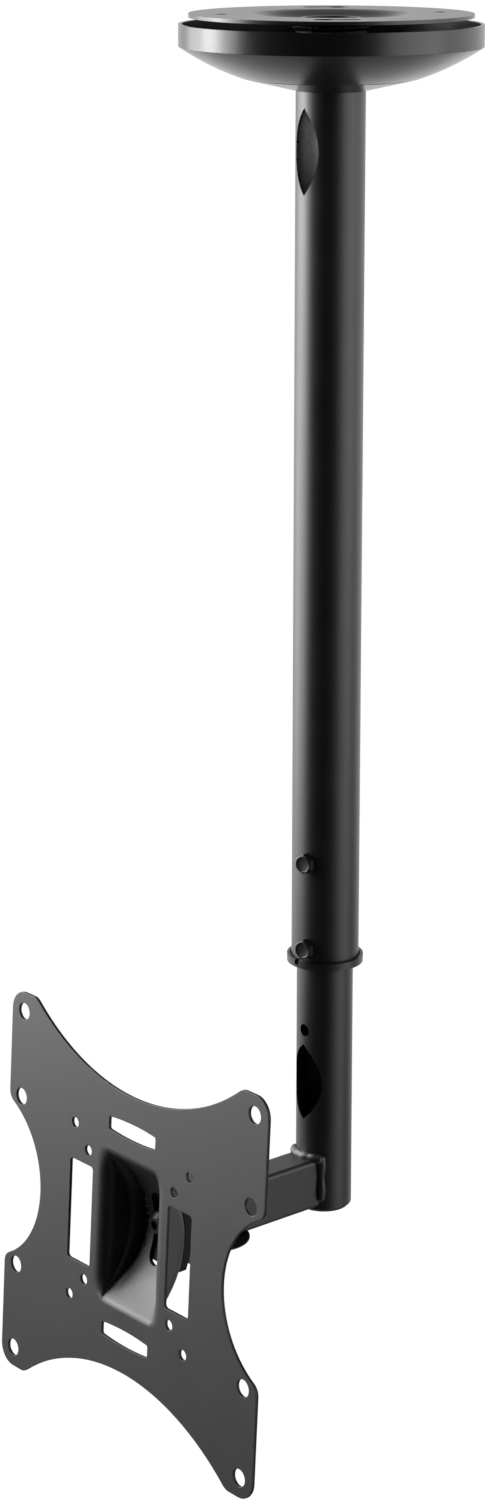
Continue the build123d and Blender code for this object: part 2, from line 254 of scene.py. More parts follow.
def ramp(tree, value, start, end, low, high, shape="LINEAR"):
    # low where the value is at its start, high at its end
    node = newNode(tree, "ShaderNodeMapRange", interpolation_type=shape)
    sources = {"Value": value, "From Min": start, "From Max": end, "To Min": low, "To Max": high}
    for socket, source in sources.items():
        feed(tree, node.inputs[socket], source)
    return node.outputs["Result"]


def mixShaders(tree, share, first, second):
    node = newNode(tree, "ShaderNodeMixShader")
    for socket, source in zip(node.inputs, (share, first, second)):
        feed(tree, socket, source)
    return node.outputs["Shader"]


# finishes

coatTexture = {"fineDetail": 3, "slowScale": 45, "slowDetail": 4, "bumpDepth": 0.05}


def coat(name, dark, light, grain, bump, rough, spread, specular=1.0, metallic=0.0):
    # powder coat, moulded skin or metal: fine grain in the bump, slow drift in colour and gloss
    material = bpy.data.materials.new(name)
    material.use_nodes = True
    tree = material.node_tree
    place = newNode(tree, "ShaderNodeTexCoord").outputs["Object"]
    fine = newNode(tree, "ShaderNodeTexNoise")
    feed(tree, fine.inputs["Scale"], 1 / (grain * mm))
    feed(tree, fine.inputs["Detail"], coatTexture["fineDetail"])
    slow = newNode(tree, "ShaderNodeTexNoise")
    feed(tree, slow.inputs["Scale"], coatTexture["slowScale"])
    feed(tree, slow.inputs["Detail"], coatTexture["slowDetail"])
    for texture in (fine, slow):
        feed(tree, texture.inputs["Vector"], place)
    tint = newNode(tree, "ShaderNodeMix", data_type="RGBA")
    feed(tree, tint.inputs["Factor"], reckon(tree, "MULTIPLY", fine.outputs["Fac"], slow.outputs["Fac"]))
    feed(tree, tint.inputs["A"], (dark, dark, dark, 1))
    feed(tree, tint.inputs["B"], (light, light, light, 1))
    relief = newNode(tree, "ShaderNodeBump")
    feed(tree, relief.inputs["Strength"], bump)
    feed(tree, relief.inputs["Distance"], coatTexture["bumpDepth"] * mm)
    feed(tree, relief.inputs["Height"], fine.outputs["Fac"])
    gloss = ramp(tree, slow.outputs["Fac"], 0, 1, rough - spread, rough + spread)
    shader = tree.nodes["Principled BSDF"]
    feed(tree, shader.inputs["Base Color"], tint.outputs["Result"])
    feed(tree, shader.inputs["Roughness"], gloss)
    feed(tree, shader.inputs["Normal"], relief.outputs["Normal"])
    feed(tree, shader.inputs["Specular IOR Level"], specular)
    feed(tree, shader.inputs["Metallic"], metallic)
    return material


tubeCoat = coat("tubeCoat", 0.004, 0.014, grain=0.6, bump=0.25, rough=0.40, spread=0.04)
armCoat = coat("armCoat", 0.006, 0.018, grain=0.6, bump=0.25, rough=0.42, spread=0.04)
plateCoat = coat("plateCoat", 0.012, 0.030, grain=0.6, bump=0.2, rough=0.45, spread=0.03)
# painted shade: the plate's cut edges get a darker, less glossy copy of the plate coat, so that they read as
# dark lines
edgeShadeCoat = coat("edgeShadeCoat", 0.003, 0.010, grain=0.6, bump=0.2, rough=0.50, spread=0.05, specular=0.35)
pressCoat = coat("pressCoat", 0.010, 0.026, grain=0.6, bump=0.15, rough=0.32, spread=0.03)
coverSkin = coat("coverSkin", 0.005, 0.016, grain=0.9, bump=0.7, rough=0.28, spread=0.04)
weldCoat = coat("weldCoat", 0.006, 0.022, grain=0.9, bump=0.8, rough=0.40, spread=0.08)
plainPlastic = coat("plainPlastic", 0.003, 0.010, grain=0.5, bump=0.2, rough=0.36, spread=0.05)
slipPlastic = coat("slipPlastic", 0.001, 0.004, grain=0.5, bump=0.15, rough=0.50, spread=0.05, specular=0.25)
boltBlack = coat("boltBlack", 0.004, 0.014, grain=0.4, bump=0.3, rough=0.36, spread=0.06, specular=0.6)
boreSteel = coat("boreSteel", 0.25, 1.00, grain=1.2, bump=1.0, rough=0.36, spread=0.12, metallic=1.0)
bareSteel = coat("bareSteel", 0.30, 0.42, grain=0.5, bump=0.2, rough=0.35, spread=0.08, metallic=1.0)
print("finishes ready")


# ceiling plate

ceilingPlate = {"diameter": 154, "sheet": 2, "dish": 90, "dishFloor": 54, "dishDepth": 4, "dishSteps": 16,
                "collarBore": 28.5, "collarWall": 2, "collarHeight": 1.7, "steps": 224, "edge": 0.3,
                "edgeSteps": 2, "crease": 30}
fixings = {"circle": 120, "hole": 6.5, "azimuth": -30, "holeSteps": 48, "keyEntry": 12.5, "entrySteps": 64,
           "keyNeck": 7, "keyTurn": 15, "neckSteps": 12}
fixingReach = fixings["circle"] / 2
cutterHeight = 4 * ceilingPlate["sheet"]  # well proud of the sheet on both sides


def dishLine(drop):
    # the dish sinks in a soft press line from its rim to its floor
    outer, inner = ceilingPlate["dish"] / 2, ceilingPlate["dishFloor"] / 2
    line = []
    for step in range(ceilingPlate["dishSteps"] + 1):
        share = step / ceilingPlate["dishSteps"]
        sunk = share * share * (3 - 2 * share)
        line.append((outer + (inner - outer) * share, -ceilingPlate["dishDepth"] * sunk - drop))
    return line


def keyholeCutters(azimuth):
    half, top = fixings["keyNeck"] / 2, cutterHeight / 2
    near, far = fixingReach - half, fixingReach + half
    neck = spun("neck", [(near, -top), (far, -top), (far, top), (near, top)], fixings["neckSteps"],
                fixings["keyTurn"])
    onlySelect(neck)
    bpy.ops.object.mode_set(mode="EDIT")
    bpy.ops.mesh.select_mode(type="EDGE")
    bpy.ops.mesh.select_all(action="DESELECT")
    bpy.ops.mesh.select_non_manifold()
    bpy.ops.mesh.edge_face_add()  # closes both ends
    bpy.ops.mesh.select_all(action="SELECT")
    bpy.ops.mesh.normals_make_consistent(inside=False)
    bpy.ops.object.mode_set(mode="OBJECT")
    neck.rotation_euler.z = math.radians(azimuth - 90)  # the spin runs back from here to the entry
    settle(neck)
    entrySpot = around(fixingReach, azimuth - fixings["keyTurn"], 0)
    entry = cylinder("entry", fixings["keyEntry"] / 2, cutterHeight, entrySpot, fixings["entrySteps"])
    neckEnd = cylinder("neckEnd", half, cutterHeight, around(fixingReach, azimuth, 0), fixings["holeSteps"])
    return [entry, neck, neckEnd]


plateRadius, collarBore = ceilingPlate["diameter"] / 2, ceilingPlate["collarBore"] / 2
collarRadius = collarBore + ceilingPlate["collarWall"]
dishFloorZ = -ceilingPlate["dishDepth"]
dishUnderZ = dishFloorZ - ceilingPlate["sheet"]
collarTop = dishFloorZ + ceilingPlate["collarHeight"]
profile = [(plateRadius, 0), *dishLine(0), (collarRadius, dishFloorZ), (collarRadius, collarTop),
           (collarBore, collarTop), (collarBore, dishUnderZ), *reversed(dishLine(ceilingPlate["sheet"])),
           (plateRadius, -ceilingPlate["sheet"])]
disc = spun("ceilingPlate", profile, ceilingPlate["steps"])
for turn in (0, 180):
    azimuth = fixings["azimuth"] + turn
    spot = around(fixingReach, azimuth, 0)
    cutAway(disc, cylinder("fixingHole", fixings["hole"] / 2, cutterHeight, spot, fixings["holeSteps"]))
    cutAway(disc, *keyholeCutters(azimuth + 90))
roundEdges(disc, ceilingPlate["edge"], ceilingPlate["edgeSteps"], ceilingPlate["crease"])
seat(disc, "ceiling_plate", pressCoat)
print("ceiling plate done")


# tubes

upperTube = {"diameter": 38, "wall": 1.5, "segments": 160, "edge": 0.3}
lowerTube = {"diameter": 31.8, "wall": 1.5, "segments": 160, "edge": 0.3, "footRound": 1.2, "footSteps": 5}
upperSlot = {"length": 47.4, "width": 18, "drop": 73.7, "tip": 1.2}
lowerSlot = {"length": 44.6, "width": 22, "rise": 75.8, "tip": 1.2}
slotCut = {"segments": 256, "tipSteps": 4}
lockHoles = {"diameter": 6.5, "azimuth": 14, "rise": 10, "pitch": 50, "count": 2}
heightHoles = {"diameter": 7, "azimuth": 2, "rise": 106.5, "pitch": 50, "count": 8}
drill = {"length": 30, "segments": 48}  # from the pole's middle out through one wall
nearby = 0.1  # finds points by their place


def slotCutter(slot, z):
    # two drums that cross in a pointed oval, with the tips eased
    half, reach = slot["width"] / 2, slot["length"] / 2
    radius = (half**2 + reach**2) / (2 * half)
    middleY = -drill["length"] / 2
    left = drum("slotLeft", radius, drill["length"], (half - radius, middleY, z), slotCut["segments"])
    right = drum("slotRight", radius, drill["length"], (radius - half, middleY, z), slotCut["segments"])
    return roundEdges(cutAway(left, right, operation="INTERSECT"), slot["tip"], slotCut["tipSteps"])


def sideDrills(holes, foot):
    drills = []
    for step in range(holes["count"]):
        spot = around(drill["length"] / 2, holes["azimuth"], foot + holes["rise"] + step * holes["pitch"])
        drills.append(cylinder("sideDrill", holes["diameter"] / 2, drill["length"], spot, drill["segments"],
                               (quarterTurn, 0, math.radians(holes["azimuth"]))))
    return drills


def openTube(name, tube, node):
    low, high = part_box(node)
    middle = (0, 0, (low.z + high.z) / 2 / mm)
    length = (high.z - low.z) / mm
    shell = cylinder(name, tube["diameter"] / 2, length, middle, tube["segments"])
    bore = cylinder("bore", tube["diameter"] / 2 - tube["wall"], 2 * length, middle, tube["segments"])
    return cutAway(shell, bore), low.z / mm


def isBore(centre, normal):
    midWall = (upperTube["diameter"] - upperTube["wall"]) / 2
    return centre.xy.length < midWall and normal.xy.dot(centre.xy) < 0


def isFootRim(end):
    return abs(end.z - lowerFoot) < nearby and end.xy.length > lowerTube["diameter"] / 2 - nearby


pole, upperFoot = openTube("upperTube", upperTube, "upper_tube")
cutAway(pole, slotCutter(upperSlot, -upperSlot["drop"]), *sideDrills(lockHoles, upperFoot))
seat(roundEdges(pole, upperTube["edge"]), "upper_tube", tubeCoat)
secondFinish(pole, boreSteel, isBore)

drop, lowerFoot = openTube("lowerTube", lowerTube, "lower_tube")
bevelWhere(drop, isFootRim, lowerTube["footRound"], lowerTube["footSteps"])
cutAway(drop, slotCutter(lowerSlot, lowerFoot + lowerSlot["rise"]), *sideDrills(heightHoles, lowerFoot))
seat(roundEdges(drop, lowerTube["edge"]), "lower_tube", tubeCoat)
print("tubes done")


# ceiling cover

cover = {"rim": 82.5, "gap": 5.6, "rimHeight": 12, "domeHeight": 17.3, "bulge": 1.3, "arcSteps": 14,
         "hub": 47.5, "hubHeight": 6.5, "hole": 19.3, "groove": 0.7, "grooveWidth": 0.9, "wall": 2.0,
         "steps": 224, "edge": 0.25, "edgeSteps": 3, "crease": 25}
rimZ = -cover["gap"] - cover["rimHeight"]
hubZ = rimZ - cover["domeHeight"]
start, end = Vector((cover["rim"], rimZ)), Vector((cover["hub"], hubZ))
outward = (end - start).orthogonal().normalized()
if outward.y > 0:
    outward = -outward
skin = [(cover["rim"], -cover["gap"])]
for step in range(cover["arcSteps"] + 1):  # the dome swells by its bulge halfway
    share = step / cover["arcSteps"]
    spot = start.lerp(end, share) + outward * cover["bulge"] * 4 * share * (1 - share)
    skin.append((spot.x, spot.y))
grooveTop, grooveEdge = hubZ + cover["groove"], cover["hub"] - cover["groove"] / 2
skin.append((grooveEdge, grooveTop))
skin.append((grooveEdge - cover["grooveWidth"], grooveTop))
innerEdge = cover["hub"] - cover["groove"] - cover["grooveWidth"]
hubSlope = cover["hubHeight"] / (cover["hub"] - cover["hole"])
skin.append((innerEdge, hubZ - hubSlope * (cover["hub"] - innerEdge)))
skin.append((cover["hole"], hubZ - cover["hubHeight"]))
shell = spun("ceilingCover", skin, cover["steps"], closed=False)
addModifier(shell, "SOLIDIFY", thickness=cover["wall"] * mm, offset=-1, use_even_offset=True)
seat(roundEdges(shell, cover["edge"], cover["edgeSteps"], cover["crease"]), "ceiling_cover", coverSkin)
print("cover done")


# end bush and tube plug

bush = {"diameter": 43, "bore": 31.9, "floor": 1.5, "rimHeight": 2.6, "rimGap": 0.8, "sleeve": 34.9,
        "sleeveLength": 30, "notch": 3, "steps": 128, "edge": 0.45, "edgeSteps": 3}
rim, bore, sleeve = bush["diameter"] / 2, bush["bore"] / 2, bush["sleeve"] / 2
rimBore = upperTube["diameter"] / 2 + bush["rimGap"]
floorZ, rimTop = upperFoot - bush["floor"], upperFoot + bush["rimHeight"]
sleeveTop = upperFoot + bush["sleeveLength"]
profile = [(bore, floorZ), (rim, floorZ), (rim, rimTop), (rimBore, rimTop), (rimBore, upperFoot),
           (sleeve, upperFoot), (sleeve, sleeveTop), (bore, sleeveTop)]
ring = spun("endBush", profile, bush["steps"])
notchSize = (bush["notch"], rim, 2 * bush["rimHeight"])
notchSpot = (0, -(upperTube["diameter"] + rim) / 2, rimTop)
cutAway(ring, block("notch", notchSize, notchSpot), *sideDrills(lockHoles, upperFoot))
seat(roundEdges(ring, bush["edge"], bush["edgeSteps"]), "end_bush", plainPlastic)

plug = {"flange": 1.5, "depth": 12, "wall": 2, "gap": 0.1, "shoulder": 14.8, "face": 12.2, "roundSteps": 6,
        "steps": 128}
stub = lowerTube["diameter"] / 2 - lowerTube["wall"] - plug["gap"]
stubTop, stubBore = lowerFoot + plug["depth"], stub - plug["wall"]
shoulder = [(plug["face"] + (plug["shoulder"] - plug["face"]) * x, lowerFoot - plug["flange"] * (1 - z))
            for x, z in arc((0, 1), 1, -90, 0, plug["roundSteps"])]
profile = [(0, lowerFoot - plug["flange"]), *shoulder, (stub, lowerFoot), (stub, stubTop),
           (stubBore, stubTop), (stubBore, lowerFoot), (0, lowerFoot)]
seat(smoothSkin(spun("tubePlug", profile, plug["steps"], closed=False)), "tube_plug", tubeCoat)
print("bush and plug done")


# lock bolts, with dished hexagon heads

lockBolt = {"flats": 10, "head": 4, "crown": 0.9, "crownDrop": 0.8, "rim": 8.4, "dish": 7.6, "dishDepth": 0.4,
            "steps": 96, "shank": 6, "shankLength": 2.8, "shankSunk": 1, "shankSteps": 48, "edge": 0.15}
corner, headTop = lockBolt["flats"] / math.sqrt(3), lockBolt["head"]
dishZ = headTop - lockBolt["dishDepth"]
profile = [(0, 0), (corner, 0), (corner, headTop - lockBolt["crownDrop"]),
           (lockBolt["crown"] * lockBolt["flats"] / 2, headTop), (lockBolt["rim"] / 2, headTop),
           (lockBolt["dish"] / 2, dishZ), (0, dishZ)]
head = spun("lockBolt", profile, lockBolt["steps"], closed=False)
cutAway(head, cylinder("hexagon", corner, 3 * headTop, (0, 0, 0), 6), operation="INTERSECT")
shankMiddle = (0, 0, (lockBolt["shankSunk"] - lockBolt["shankLength"]) / 2)
shank = cylinder("shank", lockBolt["shank"] / 2, lockBolt["shankLength"] + lockBolt["shankSunk"], shankMiddle,
                 lockBolt["shankSteps"])
roundEdges(cutAway(head, shank, operation="UNION"), lockBolt["edge"])
for step, node in enumerate(("lock_bolt_1", "lock_bolt_2")):
    onlySelect(head)
    bpy.ops.object.duplicate()
    bolt = newest(f"lockBolt{step + 1}")
    z = upperFoot + lockHoles["rise"] + step * lockHoles["pitch"]
    bolt.location = around(upperTube["diameter"] / 2, lockHoles["azimuth"], z) * mm
    bolt.rotation_euler = (quarterTurn, 0, math.radians(lockHoles["azimuth"]))
    seat(settle(bolt), node, boltBlack)
bpy.data.objects.remove(head)
print("lock bolts done")


# weld beads: drops of metal laid along the joint and melted into one

weldDrop = {"segments": 16, "rings": 10, "meltShare": 0.5, "crease": 60}
armBead = {"radius": 3.2, "step": 1.1, "waver": 0.04, "beat": 1.2, "grain": 0.3, "melt": 7, "squash": 0.9}
sideBead = {"radius": 2.7, "step": 1.2, "waver": 0.12, "beat": 0.5, "grain": 0.3, "melt": 12, "squash": 0.8,
            "aside": 4, "stop": 4}
plateBead = {"radius": 2.2, "count": 64, "waver": 0.06, "beat": 2.7, "grain": 0.35, "melt": 2, "squash": 0.6,
             "drop": 0.9}


def beadAlong(name, places, bead):
    drops = []
    for count, (spot, azimuth, squash) in enumerate(places):
        size = bead["radius"] * (1 + bead["waver"] * math.sin(bead["beat"] * count))
        bpy.ops.mesh.primitive_uv_sphere_add(segments=weldDrop["segments"], ring_count=weldDrop["rings"],
                                             radius=size * mm, location=spot * mm,
                                             rotation=(0, 0, math.radians(azimuth)))
        blob = newest("drop")
        blob.scale = squash
        drops.append(settle(blob))
    weld = joined(name, drops)
    addModifier(weld, "REMESH", mode="VOXEL", voxel_size=bead["grain"] * mm)
    addModifier(weld, "SMOOTH", factor=weldDrop["meltShare"], iterations=bead["melt"])
    return smoothSkin(weld, weldDrop["crease"])


armLow, armHigh = [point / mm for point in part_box("arm")]
tubeRadius = lowerTube["diameter"] / 2
sweep = math.degrees(math.asin(armHigh.x / tubeRadius))  # half of what the arm covers of the tube
places = []
count = round(math.radians(2 * sweep) * tubeRadius / armBead["step"])
for step in range(count + 1):
    azimuth = -sweep + 2 * sweep * step / count
    places.append((around(tubeRadius, azimuth, armHigh.z), azimuth, (armBead["squash"], 1, 1)))
runs = [beadAlong("armWeld", places, armBead)]
for sign in (-1, 1):
    azimuth = sign * (sweep + sideBead["aside"])
    places = []
    for step in range(int((armHigh.z - armLow.z - sideBead["stop"]) / sideBead["step"])):
        spot = around(tubeRadius, azimuth, armHigh.z - step * sideBead["step"])
        places.append((spot, azimuth, (1, sideBead["squash"], 1)))
    runs.append(beadAlong("sideWeld", places, sideBead))
seat(joined("armWeld", runs), "arm_weld", weldCoat)

places = []
for step in range(plateBead["count"]):
    azimuth = 360 * step / plateBead["count"]
    spot = around(upperTube["diameter"] / 2, azimuth, dishUnderZ - plateBead["drop"])
    places.append((spot, azimuth, (plateBead["squash"], 1, 1)))
finish(beadAlong("plateWeld", places, plateBead), bodyOf["upper_tube"], weldCoat)
print("welds done")


# screen plate, made upright about the tilt axis and then turned to its rest angle

sheet = {"size": 222, "thickness": 2, "corner": 11, "cornerSteps": 10, "restTilt": -3, "edge": 0.4,
         "topWaist": 158.4, "topRadius": 141.5, "topSteps": 28, "topTip": 8, "topTipSteps": 6,
         "sideWaist": 159.4, "sideRadius": 50.7, "sideSteps": 18, "sideTip": 7, "sideTipSteps": 7,
         "edgeShare": 0.15}
screenHoles = {"wide": 9.5, "wideSpan": 200, "wideHeights": (200, 100), "wideSteps": 48,
               "narrow": 5.8, "narrowSquares": (100, 75), "narrowSteps": 40}
window = {"width": 20, "height": 58, "spacing": 86, "corner": 2, "cornerSteps": 5}
barrel = {"length": 40, "endHeight": 7, "midHeight": 9.4, "spacing": 118.4, "corner": 2.4, "cornerSteps": 5,
          "segments": 1024}
pocket = {"depth": 23.5, "radius": 50, "width": 42, "corner": 6, "bend": 4.5, "sideBend": 7.5, "lip": 1.5,
          "bendSteps": 9, "cornerSteps": 8, "floorSteps": 44, "slotLength": 42, "slotWidth": 12,
          "slotSteps": 48}
dots = {"count": 7, "pitch": 5, "aside": 11.5, "radius": 1.2, "proud": 0.7, "segments": 16, "rings": 12}
punch = {"short": 10, "long": 20}  # depths of the cutters
frontY = pocket["radius"] - pocket["depth"]
throughY = frontY + sheet["thickness"] / 2
bendReach = pocket["radius"] + pocket["bend"]
bendZ = math.sqrt(bendReach**2 - (frontY + pocket["bend"]) ** 2)  # here the bend runs out to the flat
meetZ = bendZ * pocket["radius"] / bendReach  # and here it leaves the drum
signs = [(x, z) for x in (1, -1) for z in (1, -1)]


def sheetQuarter():
    # from the waist of the top edge, over both rounded tips and the corner, to the waist of the side
    half = sheet["size"] / 2
    topCentre = sheet["topWaist"] / 2 + sheet["topRadius"]
    tipZ = half - sheet["topTip"]
    tipX = math.sqrt((sheet["topRadius"] + sheet["topTip"]) ** 2 - (topCentre - tipZ) ** 2)
    topTurn = math.degrees(math.atan2(tipX, topCentre - tipZ))
    sideCentre = sheet["sideWaist"] / 2 + sheet["sideRadius"]
    edgeX = half - sheet["sideTip"]
    edgeZ = math.sqrt((sheet["sideRadius"] + sheet["sideTip"]) ** 2 - (sideCentre - edgeX) ** 2)
    sideTurn = math.degrees(math.atan2(edgeZ, sideCentre - edgeX))
    inset = half - sheet["corner"]
    return (arc((0, topCentre), sheet["topRadius"], -90, topTurn - 90, sheet["topSteps"])
            + arc((tipX, tipZ), sheet["topTip"], topTurn + 90, 90, sheet["topTipSteps"])[1:]
            + arc((inset, inset), sheet["corner"], 90, 0, sheet["cornerSteps"])
            + arc((edgeX, edgeZ), sheet["sideTip"], 0, -sideTurn, sheet["sideTipSteps"])
            + arc((sideCentre, 0), sheet["sideRadius"], 180 - sideTurn, 180, sheet["sideSteps"])[1:])


def screenHole(diameter, x, z, steps):
    cutAway(plate, drum("screenHole", diameter / 2, punch["short"], (x, throughY, z), steps))


def windowCutter(x):
    opening = block("window", (window["width"], punch["short"], window["height"]), (x, throughY, 0))
    addModifier(opening, "BEVEL", width=window["corner"] * mm, segments=window["cornerSteps"])
    return opening


def barrelCutter(z):
    # a flat block, which two large drums leave lower at its ends
    rise, reach = (barrel["midHeight"] - barrel["endHeight"]) / 2, barrel["length"] / 2
    radius = (rise**2 + reach**2) / (2 * rise)
    hollow = block("barrel", (barrel["length"], punch["short"], barrel["midHeight"]), (0, throughY, z))
    addModifier(hollow, "BEVEL", width=barrel["corner"] * mm, segments=barrel["cornerSteps"])
    for sign in (1, -1):
        middle = (0, throughY, z + sign * (barrel["midHeight"] / 2 - radius))
        swell = drum("barrelArc", radius, punch["long"], middle, barrel["segments"])
        cutAway(hollow, swell, operation="INTERSECT")
    return hollow


quarter = sheetQuarter()
rightHalf = quarter + [(x, -z) for x, z in reversed(quarter[:-1])]
outline = rightHalf + [(-x, z) for x, z in reversed(rightHalf[1:-1])]
plate = drawn("screenPlate", outline, frontY)
bpy.ops.mesh.edge_face_add()
bpy.ops.mesh.extrude_region_move(TRANSFORM_OT_translate={"value": (0, sheet["thickness"] * mm, 0)})
bpy.ops.mesh.select_all(action="SELECT")
bpy.ops.mesh.normals_make_consistent(inside=False)
bpy.ops.object.mode_set(mode="OBJECT")

span = screenHoles["wideSpan"]
for height in screenHoles["wideHeights"]:
    for x, z in signs:
        screenHole(screenHoles["wide"], x * span / 2, z * height / 2, screenHoles["wideSteps"])
for square in screenHoles["narrowSquares"]:
    for x, z in signs:
        screenHole(screenHoles["narrow"], x * square / 2, z * square / 2, screenHoles["narrowSteps"])
for sign in (1, -1):
    cutAway(plate, windowCutter(sign * window["spacing"] / 2), barrelCutter(sign * barrel["spacing"] / 2))
roundEdges(plate, sheet["edge"], clamp=False)  # before the pocket, so that only cut edges are eased
print("sheet cut")


def pocketDepth(z):
    # the drum's curve, which a bend of its own radius leads out to the flat
    if abs(z) <= meetZ:
        return math.sqrt(pocket["radius"] ** 2 - z**2) - frontY
    if abs(z) < bendZ:
        return pocket["bend"] - math.sqrt(pocket["bend"] ** 2 - (abs(z) - bendZ) ** 2)
    return 0


def stationsAcross():
    # place, share of the rim bend, and share of the floor corner or None where the rim still bends
    wall = pocket["width"] / 2
    flat = wall + pocket["sideBend"]
    right = [(flat + pocket["lip"], 0, None)]
    for x, y in arc((0, 1), 1, -90, -180, pocket["bendSteps"]):
        right.append((flat + x * pocket["sideBend"], y, None))
    for x, y in arc((0, 0), 1, 0, 90, pocket["cornerSteps"]):
        right.append((wall - pocket["corner"] + x * pocket["corner"], 1, y))
    left = [(-x, rimShare, floorShare) for x, rimShare, floorShare in right]
    return left + [(0, 1, 1)] + list(reversed(right))


def stationsDown():
    # even steps of turn on the drum, with the bend and the lip above and below
    meetTurn, steps = math.asin(meetZ / pocket["radius"]), pocket["floorSteps"]
    floorTurns = [meetTurn * (2 * step / steps - 1) for step in range(steps + 1)]
    upper = [bendZ + pocket["lip"]]
    for step in range(pocket["bendSteps"]):
        upper.append(bendZ + (meetZ - bendZ) * step / pocket["bendSteps"])
    lower = [-z for z in upper]
    return lower + [pocket["radius"] * math.sin(turn) for turn in floorTurns] + list(reversed(upper))


def pocketShell():
    # a grid whose lines are moved to the stations
    across, down = stationsAcross(), stationsDown()
    bpy.ops.mesh.primitive_grid_add(x_subdivisions=len(across) - 1, y_subdivisions=len(down) - 1, size=1)
    shell = newest("pocket")
    for vertex in shell.data.vertices:
        x, rimShare, floorShare = across[round((vertex.co.x + 1 / 2) * (len(across) - 1))]
        z = down[round((vertex.co.y + 1 / 2) * (len(down) - 1))]
        depth = pocketDepth(z)
        shrink = min(1, depth / (pocket["sideBend"] + pocket["corner"]))  # bends fade out with the depth
        if floorShare is None:
            sunk = rimShare * pocket["sideBend"] * shrink
        else:
            sunk = depth - pocket["corner"] * shrink * (1 - floorShare)
        vertex.co = Vector((x, frontY + sunk, z)) * mm
    if shell.data.polygons[0].normal.y > 0:
        shell.data.flip_normals()
    addModifier(shell, "SOLIDIFY", thickness=sheet["thickness"] * mm, offset=-1, use_even_offset=True)
    return shell


def pocketDots():
    reach = pocket["radius"] + dots["radius"] - dots["proud"]
    domes = []
    for step in range(dots["count"]):
        turn = math.radians(dots["pitch"] * (step - (dots["count"] - 1) / 2))
        spot = Vector((-dots["aside"], reach * math.cos(turn), reach * math.sin(turn))) * mm
        bpy.ops.mesh.primitive_uv_sphere_add(segments=dots["segments"], ring_count=dots["rings"],
                                             radius=dots["radius"] * mm, location=spot)
        domes.append(settle(newest("dot")))
    return joined("dots", domes)


mouthWidth = pocket["width"] + 2 * pocket["sideBend"] + pocket["lip"]  # half the lip stays on the sheet
mouthSize = (mouthWidth, punch["short"], 2 * bendZ + pocket["lip"])
cutAway(plate, block("mouth", mouthSize, (0, throughY, 0)))
cutAway(plate, pocketShell(), operation="UNION")
slotHalf = (pocket["slotLength"] - pocket["slotWidth"]) / 2
slotSize = (pocket["slotWidth"], punch["long"], 2 * slotHalf)
cutAway(plate, block("floorSlot", slotSize, (0, pocket["radius"], 0)))
for sign in (1, -1):
    slotEnd = (0, pocket["radius"], sign * slotHalf)
    cutAway(plate, drum("slotEnd", pocket["slotWidth"] / 2, punch["long"], slotEnd, pocket["slotSteps"]))
cutAway(plate, pocketDots(), operation="UNION")
mergePoints(plate, sliver)
bpy.ops.mesh.dissolve_degenerate(threshold=sliver * mm)
bpy.ops.object.mode_set(mode="OBJECT")
smoothSkin(plate)

lean = math.radians(sheet["restTilt"])
inward = Vector((0, math.cos(lean), math.sin(lean)))
plate.location = pivotOf["plate_tilt"] * mm
plate.rotation_euler.x = lean


def isCutEdge(centre, normal):  # stands square to the sheet, and no deeper than its back
    deep = (centre - pivotOf["plate_tilt"]).dot(inward)
    return abs(normal.dot(inward)) < sheet["edgeShare"] and deep < frontY + sheet["thickness"]


seat(settle(plate), "screen_plate", plateCoat)
# the cut edges take the darker, less glossy coat, which paints shade on them
secondFinish(plate, edgeShadeCoat, isCutEdge)
print("screen plate done")


# other pieces keep their solid's shape: name, easing of the edges, finish

small = {
    "arm": ("arm", 0.2, armCoat),
    "arm_plug": ("armPlug", 0.3, plainPlastic),
    "fork": ("fork", 0.25, armCoat),
    "tilt_seat": ("tiltSeat", 0.3, slipPlastic),
    "swivel_bolt": ("swivelBolt", 0.15, boltBlack),
    "swivel_nut": ("swivelNut", 0.15, boltBlack),
    "swivel_washer_top": ("swivelWasherTop", 0.15, boltBlack),
    "swivel_washer_bottom": ("swivelWasherBottom", 0.15, boltBlack),
    "swivel_disc_top": ("slipDiscTop", 0.15, slipPlastic),
    "swivel_disc_bottom": ("slipDiscBottom", 0.15, slipPlastic),
    "tilt_bolt": ("tiltBolt", 0.15, boltBlack),
    "tilt_nut": ("tiltNut", 0.15, boltBlack),
    "tilt_washer": ("tiltWasher", 0.15, boltBlack),
    "guide_ring": ("guideRing", 0.2, plainPlastic),
    "swivel_sleeve": ("swivelSleeve", 0.2, bareSteel),
}
flatAngle = 0.3  # degrees; faces that bend less become one


def dressed(node, name, edge):
    # a merged copy of the solid with its edges eased
    onlySelect(nodes[node])
    bpy.ops.object.duplicate()
    piece = newest(name)
    piece.parent = None
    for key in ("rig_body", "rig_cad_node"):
        del piece[key]
    mergePoints(piece, mergeReach)
    bpy.ops.mesh.dissolve_limited(angle_limit=math.radians(flatAngle))
    bpy.ops.object.mode_set(mode="OBJECT")
    return roundEdges(piece, edge)


for node, (name, edge, material) in small.items():
    seat(dressed(node, name, edge), node, material)
print("small pieces done")


# camera

camera = {"place": (1.344665, -1.206265, 0.102584), "azimuth": 50.245, "pitch": 10.464, "lens": 80.08,
          "sensor": 36, "shift": (0.0244, -0.2098), "farClip": 50}
dip = math.radians(camera["pitch"])
ahead = -around(math.cos(dip), camera["azimuth"], math.sin(dip))
bpy.ops.object.camera_add(location=camera["place"])
eye = newest("photoCamera")
eye.rotation_euler = ahead.to_track_quat("-Z", "Y").to_euler()
eye.data.lens = camera["lens"]
eye.data.sensor_width = camera["sensor"]
eye.data.shift_x, eye.data.shift_y = camera["shift"]
eye.data.clip_end = camera["farClip"]
bpy.context.scene.camera = eye


# studio light: a bright box on the left with a hot middle and a raised one above it,
# and a weaker one on the right; each faces the pole at the height it aims at

